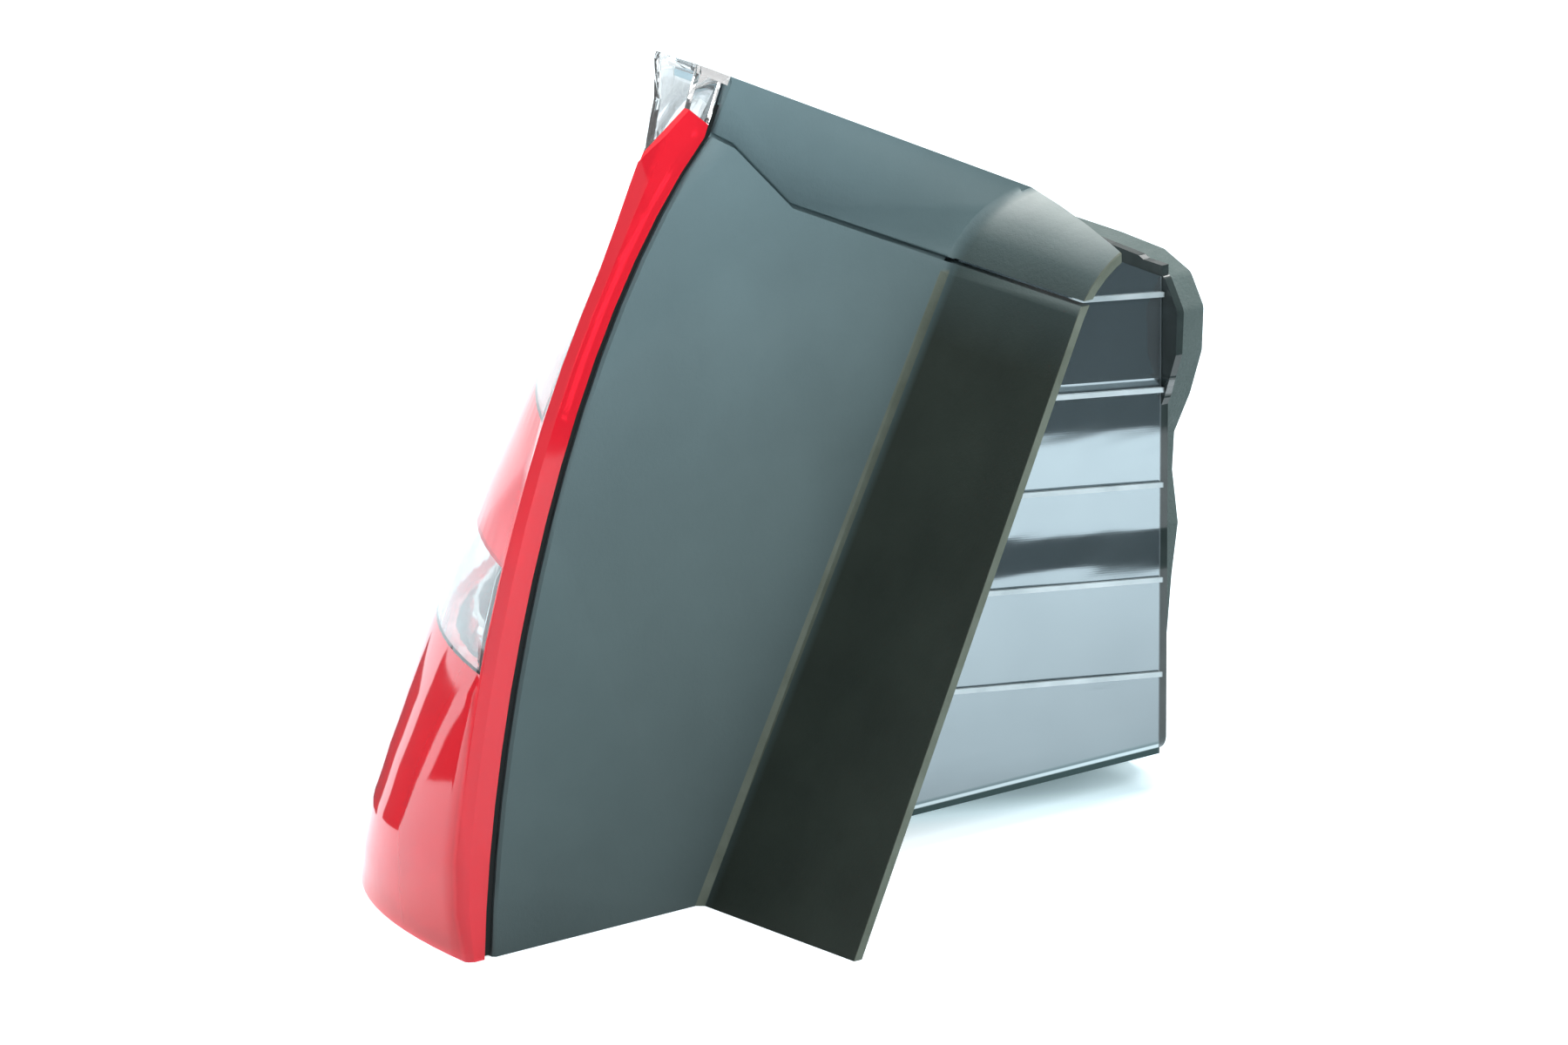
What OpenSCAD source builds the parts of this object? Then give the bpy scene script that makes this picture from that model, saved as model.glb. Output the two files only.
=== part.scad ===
// Left-hand tail lamp of a car: wrap-round outer lens, ribbed housing with a forward mounting
// flange, and a matte cover with a channel flange on the tailgate side.
// X points forwards, the way the lamp is pushed on to the body, Y outboard and Z up. Outlines are
// written from the lower rear corner of the tailgate-side panel, and at_mount() then moves the
// origin to the middle of the four studs, on the front of the foam gasket.

/* [Tailgate side cover] */
// Depth of the panel at its bottom edge
panel_depth = 91.7; // [80:0.1:105]
// Height at which the rear edge of the panel meets the shoulder
shoulder_z = 274; // [265:1:280]
// How far the shoulder lies forward of the bottom corner
shoulder_x = 97.5; // [90:0.5:103]
// Height of the rear end of the top edge
lamp_height = 293.3; // [288:0.1:300]
// Slope of the top, down towards the front, in degrees
top_slope = 25.5; // [23:0.1:28]
// Lean of the channel flange from upright, in degrees
flange_lean = 27.9; // [26:0.1:30]
// Width of the channel flange at the bottom
flange_width = 82; // [60:1:100]
// Width of the channel flange at its top end
flange_top_width = 70; // [50:1:80]
// Radius of the roll at the top of the flange
roll_r = 44; // [36:1:50]
// Wall of the covers
cover_wall = 3; // [2:0.1:4]
// Open seam between the two covers
seam_gap = 1.8; // [0.6:0.1:2.4]
// Height of the seam on the flange
seam_z = 210; // [200:1:214]

/* [Outer lens] */
// How far the lens reaches outboard at its bottom edge
lens_width = 140; // [130:1:150]
// How far the curve of the lens reaches forward at its bottom edge
lens_reach = 120; // [110:1:130]
// Lean of the lens side inboard, in degrees
lens_tumble = 11.3; // [9:0.1:13]
// Lean of the front edge of the lens, in degrees
lens_lean = 16.7; // [14:0.1:19]
// Straight length of the lens ahead of its curve
lens_tail = 20; // [10:1:30]
// Wall of the lens
lens_wall = 2.8; // [2:0.1:4]
// Depth of the red side wall of the lens
rim_depth = 14; // [10:0.5:18]
// How much deeper the side wall is at the shoulder
rim_flare = 11; // [0:1:14]
// How far the side wall tucks in at its foot
foot_tuck = 7; // [0:1:9]
// Width of the sealed gap between lens and covers
seal_width = 4; // [3:0.5:6]
// Bottom of the clear stripe
stripe_low = 101; // [90:1:110]
// Top of the clear stripe
stripe_high = 137; // [125:1:145]
// Top of the upper red zone
red_top = 185; // [170:1:200]

/* [Housing] */
// Where the rear of the mounting flange lies
flange_x = 299; // [290:1:310]
// Underside of the ribbed box
box_bottom = 12.7; // [8:0.1:16]
// Height of the ribbed box at the mounting flange
box_top = 186; // [182:1:190]
// Width of the ribbed box at its underside
box_width = 120; // [118:1:124]
// Wall of the housing
housing_wall = 2.6; // [2:0.1:4]
// Thickness of the mounting flange
mount_wall = 3; // [2:0.1:5]
// Width of a rib
rib_width = 1.8; // [1:0.1:3]
// Height of a rib
rib_height = 1.6; // [1:0.1:3]
// Fall of the ribs towards the front, in degrees
rib_fall = 7.5; // [0:0.5:10]
// Clearance between pieces that fit together
fit = 0.3; // [0.2:0.05:0.5]

/* [Mounting] */
// Distance of the studs across the lamp
stud_pitch_y = 32; // [28:1:34]
// Distance of the studs up the lamp
stud_pitch_z = 140; // [134:1:142]
// Diameter of a stud
stud_d = 6; // [5:0.5:8]
// How far a stud stands out of the gasket
stud_reach = 20; // [15:1:30]
// Thickness of the foam gasket
gasket_thick = 9; // [6:0.5:12]
// Width of the foam ring
gasket_width = 9; // [7:0.5:10]

/* [Bulbs] */
// Width of the opening for the bulb carrier
carrier_width = 54; // [52:1:55]
// Height of the opening for the bulb carrier
carrier_height = 104; // [100:1:106]
// Distance of the bulbs across the carrier
bulb_pitch_y = 28; // [26:0.5:29]
// Distance of the bulbs up the carrier
bulb_pitch_z = 54; // [50:1:58]
// Length of a bulb tower
tower_length = 50; // [40:1:60]
// Outer diameter of a bulb tower
tower_d = 20; // [19:0.5:21]
// Largest diameter of a bulb
bulb_d = 18; // [15:0.5:20]

/* [Hidden] */
$fn = 48;

// Room that cutting tools take beyond the piece they cut.
over = 60;

// Rear edge of the panel: one cubic curve up to the shoulder, then a straight run to the top corner.
top_x = shoulder_x + 7.9;
edge_low = [2.3, shoulder_z / 3];
edge_high = [0.393 * shoulder_x, 0.797 * shoulder_z];
edge_steps = 16;
function cubic(a, b, c, d, t) =
    pow(1 - t, 3) * a + 3 * pow(1 - t, 2) * t * b + 3 * (1 - t) * t * t * c + pow(t, 3) * d;
function edge_pt(t) = t <= 1
    ? cubic([0, 0], edge_low, edge_high, [shoulder_x, shoulder_z], t)
    : [shoulder_x, shoulder_z] + (t - 1) * [top_x - shoulder_x, lamp_height - shoulder_z];
EDGE = [for (i = [0 : edge_steps]) edge_pt(i / edge_steps)];

// Top plane and the flange curve, both seen from the side.
function top_line(x) = lamp_height - tan(top_slope) * (x - top_x);
function crease_x(z) = panel_depth + tan(flange_lean) * z;
roll_rise = roll_r * (1 - sin(flange_lean));
roll_run = roll_r * cos(flange_lean);
roll_z = (lamp_height - tan(top_slope) * (panel_depth + roll_run - top_x) - roll_rise)
    / (1 + tan(flange_lean) * tan(top_slope));
roll_centre = [crease_x(roll_z) + roll_run, roll_z - roll_r * sin(flange_lean)];
roll_steps = 8;
function roll_pt(r, i) = roll_centre
    + r * [-cos(flange_lean + (90 - flange_lean) * i / roll_steps),
        sin(flange_lean + (90 - flange_lean) * i / roll_steps)];
function flange_curve(inset) = concat([[crease_x(0) + inset / cos(flange_lean), 0]],
    [for (i = [0 : roll_steps]) roll_pt(roll_r - inset, i)]);
SEAM = [[-over, shoulder_z + 10], [shoulder_x, shoulder_z], [shoulder_x + 9.5, shoulder_z - 5.5],
    [132.7, 242.4], [crease_x(seam_z), seam_z], [flange_x, seam_z]];

// Outline of the lens seen from above: a quadratic curve that leaves the rear corner outboard and
// ends pointing forwards, then a straight tail. t is the height along the rear edge, u the place
// along the curve and inset the depth below the outer face.
function rear_corner(e) = e[0] - seal_width - rim_depth + foot_tuck * pow(max(0, 1 - e[1] / 40), 2)
    - rim_flare * pow(max(0, e[1] - 225) / 45, 2);
function lens_side(z) = lens_width - tan(lens_tumble) * z;
function lens_front(z) = lens_reach + tan(lens_lean) * z;
function sweep_back(z) = 0.07 + 0.15 * z / 100 + 0.08 * pow(z / 100, 2);
function lens_curve(e, u) = let (f = rear_corner(e), b = lens_side(e[1]), v = min(u, 1))
    pow(1 - v, 2) * [f, 0] + 2 * (1 - v) * v * [f + sweep_back(e[1]) * b, b]
    + v * v * [lens_front(e[1]), b] + [max(0, u - 1) * lens_tail, 0];
function lens_way(e, u) = let (f = rear_corner(e), b = lens_side(e[1]), v = min(u, 1),
    w = (1 - v) * [sweep_back(e[1]) * b, b]
        + v * [lens_front(e[1]) - f - sweep_back(e[1]) * b, 0]) w / norm(w);
function lens_pt(e, u, inset) = let (w = lens_way(e, u)) lens_curve(e, u) + inset * [w[1], -w[0]];

// Where the lens curve meets the top plane, found by stepping towards it.
function on_top(u, inset, z = lamp_height - 13, n = 8) = let (e = at_height(z), p = lens_pt(e, u, inset))
    n == 0 ? p : on_top(u, inset, top_line(p[0]), n - 1);
function at_height(z) = z >= shoulder_z ? edge_pt(1 + (z - shoulder_z) / (lamp_height - shoulder_z))
    : edge_pt(edge_param(z));
function edge_param(z, low = 0, high = 1, n = 16) = let (m = (low + high) / 2)
    n == 0 ? m : edge_pt(m)[1] < z ? edge_param(z, m, high, n - 1) : edge_param(z, low, m, n - 1);

// Mounting flange.
mount_front = flange_x + mount_wall;
gasket_front = mount_front + gasket_thick;
stud_mid_y = 58;
stud_mid_z = 100;
carrier_mid_y = box_width / 2 - 8;
outboard_lean = tan(lens_tumble);
FLANGE_INBOARD = [[32, 0], [22, 8], [14, 22], [11.5, 42], [8, 74], [4.8, 93.5], [8, 112], [7, 126],
    [-1.3, 142], [-7.5, 159], [-8.3, 175], [-1.3, 186], [12.8, 191]];

module at_mount() {
    translate([-gasket_front, -stud_mid_y, -stud_mid_z]) children();
}

// Sweeps an outline drawn in X and Z across the lamp, from y0 to y1.
module across(y0, y1) {
    translate([0, y1, 0]) rotate([90, 0, 0]) linear_extrude(height = y1 - y0) children();
}

// Sweeps an outline drawn in Y and Z forwards, from x0 to x1.
module forwards(x0, x1) {
    translate([x0, 0, 0]) rotate([90, 0, 90]) linear_extrude(height = x1 - x0) children();
}

// Skins a wall between two lists of rows of points. Each row of the outer list has as many points
// as its row of the inner list.
module skin(outer, inner) {
    m = len(outer);
    n = len(outer[0]);
    points = [for (r = [0 : m - 1]) each concat(inner[r], outer[r])];
    function at(r, i) = r * 2 * n + i;
    faces = concat(
        [for (r = [0 : m - 2], i = [0 : n - 2], f = [0, 1])
            f == 0 ? [at(r, i), at(r + 1, i), at(r + 1, i + 1)]
            : [at(r, i), at(r + 1, i + 1), at(r, i + 1)]],
        [for (r = [0 : m - 2], i = [0 : n - 2], f = [0, 1])
            f == 0 ? [at(r, n + i), at(r + 1, n + i + 1), at(r + 1, n + i)]
            : [at(r, n + i), at(r, n + i + 1), at(r + 1, n + i + 1)]],
        [for (r = [0 : m - 2], f = [0, 1])
            f == 0 ? [at(r, 0), at(r, n), at(r + 1, n)] : [at(r, 0), at(r + 1, n), at(r + 1, 0)]],
        [for (r = [0 : m - 2], f = [0, 1])
            f == 0 ? [at(r, n - 1), at(r + 1, n - 1), at(r + 1, 2 * n - 1)]
            : [at(r, n - 1), at(r + 1, 2 * n - 1), at(r, 2 * n - 1)]],
        [for (i = [0 : n - 2]) [at(0, i), at(0, i + 1), at(0, n + i + 1), at(0, n + i)]],
        [for (i = [0 : n - 2])
            [at(m - 1, i), at(m - 1, n + i), at(m - 1, n + i + 1), at(m - 1, i + 1)]]);
    polyhedron(points, faces, convexity = 6);
}

// Covers

// Side outline of the panel, from the rear edge over the top and down the crease.
PANEL = concat(EDGE, [[top_x, lamp_height]], [for (p = [roll_steps : -1 : 0]) roll_pt(roll_r, p)],
    [[crease_x(0), 0]]);
apex = roll_pt(roll_r, roll_steps);

module above_seam(shift) {
    polygon(concat([for (p = SEAM) p + [0, shift]],
        [[flange_x, lamp_height + over], [-over, lamp_height + over]]));
}

module below_seam(shift) {
    polygon(concat([for (p = SEAM) p + [0, shift]], [[flange_x, -over], [-over, -over]]));
}

// The channel flange, before the seam parts it: a leaning wall that rolls forwards at its top.
module channel_flange() {
    inner = flange_curve(cover_wall);
    band = concat(flange_curve(0), [for (i = [len(inner) - 1 : -1 : 0]) inner[i]]);
    intersection() {
        across(-flange_width - over, cover_wall) polygon(band);
        forwards(0, flange_x) polygon([[cover_wall, 0], [-flange_width, 0],
            [-flange_top_width, seam_z], [-flange_top_width, lamp_height], [cover_wall, lamp_height]]);
        linear_extrude(height = lamp_height) polygon([[0, cover_wall], [apex[0], cover_wall],
            [apex[0], 0], [apex[0] - 19, -flange_top_width], [apex[0] - 19, -flange_width - over],
            [0, -flange_width - over]]);
    }
}

// Flat fillet in the corner between the panel and the channel flange, up the crease and over the
// roll. Its legs are crease_round long, and it is rooted in both walls.
crease_round = 2.2;
fillet_root = 2.4;
function fillet_row(low, high, root) = [[[low[0], -crease_round, low[1]], [high[0], 0, high[1]]],
    [[root[0], -crease_round, root[1]], [high[0], fillet_root, high[1]]]];
module crease_fillet() {
    foot = function (inset) [crease_x(0) + inset / cos(flange_lean), 0];
    rows = concat([fillet_row(foot(0), foot(-crease_round), foot(fillet_root))],
        [for (i = [0 : roll_steps - 1]) fillet_row(roll_pt(roll_r, i), roll_pt(roll_r + crease_round, i),
            roll_pt(roll_r - fillet_root, i))]);
    skin([for (r = rows) r[0]], [for (r = rows) r[1]]);
}

// Bevel along the rear edge of the panel.
edge_bevel = 1;
BEVEL_RUN = concat([[EDGE[0][0], -1]], EDGE, [[top_x + 0.5, lamp_height + 1]]);
module rear_edge_bevel() {
    far = edge_bevel + 1;
    skin([for (e = BEVEL_RUN) [[e[0] - 1, far, e[1]], [e[0] + far, -1, e[1]]]],
        [for (e = BEVEL_RUN) [[e[0] - far, 1, e[1]], [e[0] + 1, -far, e[1]]]]);
}

// The upper cover laps behind the lower one along the seam of the panel.
lap_depth = 3.4;
lap_wall = 1.2;
module lap_zone(spare) {
    across(cover_wall - lap_wall - spare, cover_wall + spare) intersection() {
        polygon(PANEL);
        translate([spare - fit - 1, 0]) polygon(PANEL);
        above_seam(-lap_depth - spare);
        below_seam(seam_gap);
    }
}

// Heat stakes that hold a cover on the housing: pins through the wall, with heads formed inside.
stake_d = 3.6;
stake_head_d = 7;
LOWER_STAKES = [[28, 40], [92, 50], [62, 150], [140, 140]];
UPPER_STAKES = [[140, 258], [196, 226]];
wall_near = cover_wall + fit;
wall_far = wall_near + housing_wall;
module stakes(places) {
    for (p = places) translate([p[0], 0, p[1]]) rotate([-90, 0, 0]) {
        translate([0, 0, cover_wall / 2]) cylinder(d = stake_d, h = wall_far - cover_wall / 2 + fit);
        translate([0, 0, wall_far + fit / 2]) cylinder(d = stake_head_d, h = 1.6);
    }
}

module jamb_cover_lower() {
    color([0.20, 0.24, 0.24]) at_mount() {
        difference() {
            intersection() {
                union() {
                    across(0, cover_wall) polygon(PANEL);
                    channel_flange();
                    crease_fillet();
                }
                across(-flange_width - over, cover_wall) below_seam(-seam_gap / 2);
            }
            rear_edge_bevel();
            lap_zone(fit);
        }
        stakes(LOWER_STAKES);
    }
}

// Plan outline of what the lens wraps round on the top plane, out to the front edge at x.
function top_plan(inset, rear, front) = concat([[rear, 0]],
    [for (u = [0 : 0.05 : 1.2]) let (p = on_top(u, inset)) if (p[0] > rear + 0.5) p],
    [[front, on_top(1.2, inset)[1]], [front, 0]]);

module jamb_cover_upper() {
    color([0.20, 0.24, 0.24]) at_mount() {
        difference() {
            union() {
                across(0, cover_wall) intersection() {
                    polygon(PANEL);
                    above_seam(seam_gap / 2);
                }
                lap_zone(0);
            }
            rear_edge_bevel();
        }
        intersection() {
            union() {
                channel_flange();
                crease_fillet();
            }
            across(-flange_width - over, cover_wall) above_seam(seam_gap / 2);
        }
        intersection() {
            across(0, lens_width) polygon([[top_x, lamp_height], apex, apex - [0, cover_wall],
                [top_x, lamp_height - cover_wall / cos(top_slope)]]);
            linear_extrude(height = lamp_height + over)
                polygon(top_plan(lens_wall + fit, top_x, apex[0]));
        }
        stakes(UPPER_STAKES);
    }
}

// Outer lens

lens_rows = concat(EDGE, [edge_pt(1.5), edge_pt(2), edge_pt(2.7)]);
lens_steps = 24;
lens_places = concat([for (i = [1 : lens_steps]) i / lens_steps], [1.2]);
outer_places = concat([0.008], lens_places);

// Place along the curve where the inner face of the lens meets the inner face of its side wall.
function inner_start(e) = let (k = sweep_back(e[1]))
    1.1 * lens_wall * (1 + k / sqrt(1 + k * k)) / (2 * lens_side(e[1]));
// The rear corner is cut away at the shoulder, and the red side wall ends square to that cut.
SHOULDER_CUT = [[-over, shoulder_z - 4], [top_x - 40.4, shoulder_z - 4], [top_x - 18.4, shoulder_z + 11],
    [top_x - 12, lamp_height + 10]];
RIM_TOP = [SHOULDER_CUT[2], [top_x - 9.4, shoulder_z + 3.5]];

// Width of the side wall, and the part of it that is bevelled along the rear corner.
function rim_width(e) = e[0] - seal_width - rear_corner(e);
bevel_share = 0.36;
bevel_drop = 1.3;

// The whole wall: side wall along the tailgate side, then the curve round to the front edge.
module lens_wall_blank() {
    outer = [for (e = lens_rows) concat([[e[0] - seal_width, 0, e[1]],
        [rear_corner(e) + bevel_share * rim_width(e), 0, e[1]],
        [rear_corner(e) + bevel_drop / 2, bevel_drop, e[1]]],
        [for (u = outer_places) let (p = lens_pt(e, u, 0)) [p[0], p[1], e[1]]])];
    inner = [for (e = lens_rows) let (corner_x = lens_pt(e, inner_start(e), lens_wall)[0])
        concat([[e[0] - seal_width, lens_wall, e[1]],
        [max(corner_x + 1.8, rear_corner(e) + bevel_share * rim_width(e)), lens_wall, e[1]],
        [corner_x + 0.8, lens_wall, e[1]]],
        [for (u = concat([inner_start(e)], lens_places)) let (p = lens_pt(e, u, lens_wall)) [p[0], p[1], e[1]]])];
    difference() {
        skin(outer, inner);
        across(-over, lens_width + over) polygon([[-over, top_line(-over)], [flange_x, top_line(flange_x)],
            [flange_x, 2 * lamp_height], [-over, 2 * lamp_height]]);
        across(-over, lens_width + over) polygon(concat(SHOULDER_CUT, [[-over, 2 * lamp_height]]));
    }
}

module stripe_zone() {
    translate([-over, lens_wall, stripe_low]) cube([flange_x, lens_width, stripe_high - stripe_low]);
}

module top_zone() {
    translate([-over, lens_wall, red_top]) cube([flange_x, lens_width, lamp_height]);
    across(-over, lens_width) polygon([[-over, RIM_TOP[0][1]], RIM_TOP[0], RIM_TOP[1], [flange_x, RIM_TOP[1][1]],
        [flange_x, 2 * lamp_height], [-over, 2 * lamp_height]]);
}

module outer_lens_red() {
    color([0.85, 0.06, 0.10]) at_mount() difference() {
        lens_wall_blank();
        stripe_zone();
        top_zone();
    }
}

module outer_lens_stripe() {
    color([0.92, 0.94, 0.95, 0.5]) at_mount() intersection() {
        lens_wall_blank();
        stripe_zone();
    }
}

// The clear shot also closes the top as far forwards as the upper cover.
roof_x = SHOULDER_CUT[3][0];
module outer_lens_top() {
    color([0.92, 0.94, 0.95, 0.5]) at_mount() {
        intersection() {
            lens_wall_blank();
            top_zone();
        }
        intersection() {
            across(0, lens_width) polygon([[roof_x, top_line(roof_x)], [top_x - fit, top_line(top_x - fit)],
                [top_x - 2 * fit - 1.2, top_line(top_x) - lens_wall], [roof_x, top_line(roof_x) - lens_wall]]);
            linear_extrude(height = lamp_height + over)
                polygon(top_plan(lens_wall / 2, top_x - rim_depth, apex[0]));
        }
    }
}

SEAL_RUN = concat(EDGE, [edge_pt(1.5)]);

// Sealing bead in the gap between the lens and the covers, set back from the face.
module lens_seal() {
    color([0.05, 0.05, 0.05]) at_mount()
        across(1.8, wall_near - fit / 2) polygon(concat(
            [for (e = SEAL_RUN) [e[0] - seal_width + fit / 2, max(e[1], floor_z)]],
            [for (i = [len(SEAL_RUN) - 1 : -1 : 0]) [SEAL_RUN[i][0] - fit / 2, max(SEAL_RUN[i][1], floor_z)]]));
}

// Housing

floor_z = 0.6;
rear_lap = 6;
foot_lap = 12;
RIBS = [for (i = [0 : 4]) 41 + 34.5 * i];
function bulk_x(z) = lens_front(z) + lens_tail;
function box_line(x) = box_top + tan(top_slope) * (flange_x - x);
function under_cap(x) = top_line(x) - (cover_wall + fit) / cos(top_slope);

// Side outline of the wall behind the covers.
module rear_wall_outline() {
    polygon(concat([for (e = EDGE) [e[0] - rear_lap, max(e[1], floor_z)]],
        [[top_x - rear_lap + 3, under_cap(top_x)], [crease_x(200), under_cap(crease_x(200))],
        [crease_x(200) + foot_lap, 200], [bulk_x(box_bottom), box_bottom + foot_lap],
        [bulk_x(floor_z), floor_z]]));
}

// Side outline of the box, ahead of the channel flange where front_only is set.
module box_side(inset, front_only) {
    behind = inset > 0 || front_only ? 2 * over : 0;
    intersection() {
        polygon([[bulk_x(0) - behind, box_bottom + inset],
            [flange_x + inset * over, box_bottom + inset],
            [flange_x + inset * over, box_line(flange_x + inset * over) - inset / cos(top_slope)],
            [bulk_x(200) - behind, box_line(bulk_x(200) - behind) - inset / cos(top_slope)]]);
        if (front_only) polygon(concat(flange_curve(cover_wall + fit),
            [[flange_x + over, apex[1] - cover_wall - fit], [flange_x + over, 0]]));
    }
}

module box_end(inset) {
    offset(r = 6) offset(delta = -6 - inset) polygon([[0, box_bottom],
        [box_width - outboard_lean * box_bottom, box_bottom],
        [box_width - outboard_lean * lamp_height, lamp_height], [0, lamp_height]]);
}

module mount_outline() {
    offset(r = 4) offset(delta = -4) polygon(concat(FLANGE_INBOARD, [[36, box_top + 6],
        [box_width + 10 - outboard_lean * (box_top + 6), box_top + 6], [box_width + 10, 0]]));
}

module stud_places() {
    for (y = [-1, 1], z = [-1, 1])
        translate([0, stud_mid_y + y * stud_pitch_y / 2, stud_mid_z + z * stud_pitch_z / 2]) children();
}

module carrier_outline(lip) {
    translate([carrier_mid_y, stud_mid_z]) offset(r = 6) offset(delta = -6)
        square([carrier_width + 2 * lip, carrier_height + 2 * lip], center = true);
}

boss_depth = 6;
boss_d = 14;
shoulder_d = stud_d + 1.2;
ball_y = 100;
ball_z = 24;
breather_z = 171;
breather_bore = 3;
breather_nozzle_d = 6;
breather_reach = 6;

module housing() {
    color([0.62, 0.68, 0.71]) at_mount() difference() {
        union() {
            across(wall_near, wall_far) rear_wall_outline();
            across(0, wall_near + 1) box_side(0, true);
            difference() {
                intersection() {
                    across(0, box_width) box_side(0, false);
                    forwards(0, flange_x) box_end(0);
                    across(wall_near, box_width) polygon([[bulk_x(0), 0], [bulk_x(lamp_height), lamp_height],
                        [flange_x, lamp_height], [flange_x, 0]]);
                }
                intersection() {
                    across(0, box_width) box_side(housing_wall, false);
                    forwards(0, flange_x) box_end(housing_wall);
                }
            }
            difference() {
                intersection() {
                    across(wall_near, lens_width) polygon([[bulk_x(floor_z), floor_z],
                        [bulk_x(box_line(200)), box_line(200)],
                        [bulk_x(box_line(200)) - housing_wall, box_line(200)],
                        [bulk_x(floor_z) - housing_wall, floor_z]]);
                    forwards(0, flange_x) polygon([[0, 0], [lens_side(0) - lens_wall - fit, 0],
                        [lens_side(lamp_height) - lens_wall - fit, lamp_height], [0, lamp_height]]);
                    across(0, lens_width) polygon([[0, 0], [flange_x, 0],
                        [flange_x, under_cap(flange_x)], [0, under_cap(0)]]);
                }
                forwards(0, flange_x) box_end(housing_wall);
            }
            translate([0, 0, floor_z]) linear_extrude(height = housing_wall) polygon(concat(
                [[-rear_lap, wall_near]],
                [for (u = [0.05 : 0.05 : 1.2]) lens_pt(EDGE[0], u, lens_wall + 4 * fit)],
                [[bulk_x(floor_z), lens_side(0) - lens_wall - 4 * fit], [bulk_x(floor_z), wall_near]]));
            intersection() {
                across(wall_near, lens_width) polygon([[top_x - rear_lap + 3, under_cap(top_x - rear_lap + 3)],
                    [bulk_x(230), under_cap(bulk_x(230))], [bulk_x(230), under_cap(bulk_x(230)) - housing_wall],
                    [top_x - rear_lap + 3, under_cap(top_x - rear_lap + 3) - housing_wall]]);
                linear_extrude(height = lamp_height) polygon(top_plan(lens_wall + 4 * fit, top_x - rear_lap, apex[0]));
            }
            for (z = RIBS) across(-rib_height, 1) intersection() {
                box_side(0, true);
                polygon([[0, z + tan(rib_fall) * flange_x], [flange_x, z], [flange_x, z + rib_width],
                    [0, z + rib_width + tan(rib_fall) * flange_x]]);
            }
            forwards(flange_x, mount_front) {
                mount_outline();
                intersection() {
                    box_end(0);
                    translate([-over, 0]) square([lens_width + over, box_top + 4]);
                }
            }
            stud_places() translate([flange_x - boss_depth, 0, 0]) rotate([0, 90, 0])
                cylinder(d = boss_d, h = boss_depth + 1);
            translate([flange_x, stud_mid_y, breather_z]) rotate([0, 90, 0])
                cylinder(d = breather_nozzle_d, h = mount_wall + breather_reach);
        }
        forwards(flange_x - over, mount_front + over) carrier_outline(0);
        stud_places() translate([flange_x - over / 2, 0, 0]) rotate([0, 90, 0])
            cylinder(d = shoulder_d + fit, h = over);
        translate([flange_x - over / 2, ball_y, ball_z]) rotate([0, 90, 0]) cylinder(d = stud_d + fit, h = over);
        translate([flange_x - over / 2, stud_mid_y, breather_z]) rotate([0, 90, 0])
            cylinder(d = breather_bore, h = over);
        for (p = concat(LOWER_STAKES, UPPER_STAKES)) translate([p[0], 0, p[1]]) rotate([-90, 0, 0])
            cylinder(d = stake_d + 2 * fit, h = wall_far + 1);
    }
}

// Mounting pieces

module mounting_gasket() {
    color([0.16, 0.18, 0.17]) at_mount() forwards(mount_front, gasket_front) difference() {
        mount_outline();
        offset(delta = -gasket_width) mount_outline();
    }
}

// Each stud has a hexagon head behind its boss, a plain shoulder as long as the clamped foam, and
// the shank that stands out of the foam.
module mounting_studs() {
    color([0.80, 0.80, 0.78]) at_mount() stud_places() rotate([0, 90, 0]) {
        translate([0, 0, flange_x - boss_depth - 4]) cylinder(d = stud_d + 4, h = 4, $fn = 6);
        translate([0, 0, flange_x - boss_depth - 1])
            cylinder(d = shoulder_d, h = gasket_front - flange_x + boss_depth + 1);
        translate([0, 0, gasket_front - 1]) cylinder(d = stud_d, h = stud_reach + 1);
        translate([0, 0, gasket_front + stud_reach - 0.01]) cylinder(d1 = stud_d, d2 = stud_d - 2, h = 1);
    }
}

ball_d = 10;
module locating_ball_stud() {
    color([0.80, 0.80, 0.78]) at_mount() translate([0, ball_y, ball_z]) rotate([0, 90, 0]) {
        translate([0, 0, flange_x - 2.5]) cylinder(d = ball_d, h = 2.5);
        translate([0, 0, flange_x - 1]) cylinder(d = stud_d, h = gasket_front - flange_x + 10);
        translate([0, 0, mount_front]) cylinder(d = 12, h = 2);
        translate([0, 0, gasket_front + 12]) sphere(d = ball_d);
    }
}

module breather_cap() {
    color([0.06, 0.06, 0.06]) at_mount() translate([mount_front + 1, stud_mid_y, breather_z])
        rotate([0, 90, 0]) rotate_extrude() polygon([[breather_nozzle_d / 2 + 0.1, 0],
            [breather_nozzle_d / 2 + 2, 0], [breather_nozzle_d / 2 + 2, breather_reach],
            [breather_nozzle_d / 2 + 1, breather_reach + 1.5], [0, breather_reach + 1.5],
            [0, breather_reach - 0.8], [breather_nozzle_d / 2 + 0.1, breather_reach - 0.8]]);
}

// Inside the lens

bezel_inset = 12;
bezel_top = shoulder_z - 34;
module inner_bezel() {
    rows = [for (i = [0 : 8]) at_height(i == 0 ? floor_z + housing_wall + fit : bezel_top * i / 8)];
    places = [for (i = [0 : 10]) 0.1 + 0.09 * i];
    color([0.86, 0.87, 0.88]) at_mount() difference() {
        skin([for (e = rows) [for (u = places) let (p = lens_pt(e, u, bezel_inset)) [p[0], p[1], e[1]]]],
            [for (e = rows) [for (u = places) let (p = lens_pt(e, u, bezel_inset + 2)) [p[0], p[1], e[1]]]]);
        for (w = [[10, stripe_low - 4], [stripe_low + 4, stripe_high - 4], [stripe_high + 4, red_top - 4],
            [red_top + 4, bezel_top - 8]]) forwards(-over, flange_x) polygon([[22, w[0]],
                [lens_side(w[0]) - 22, w[0]], [lens_side(w[1]) - 22, w[1]], [22, w[1]]]);
    }
}

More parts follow.
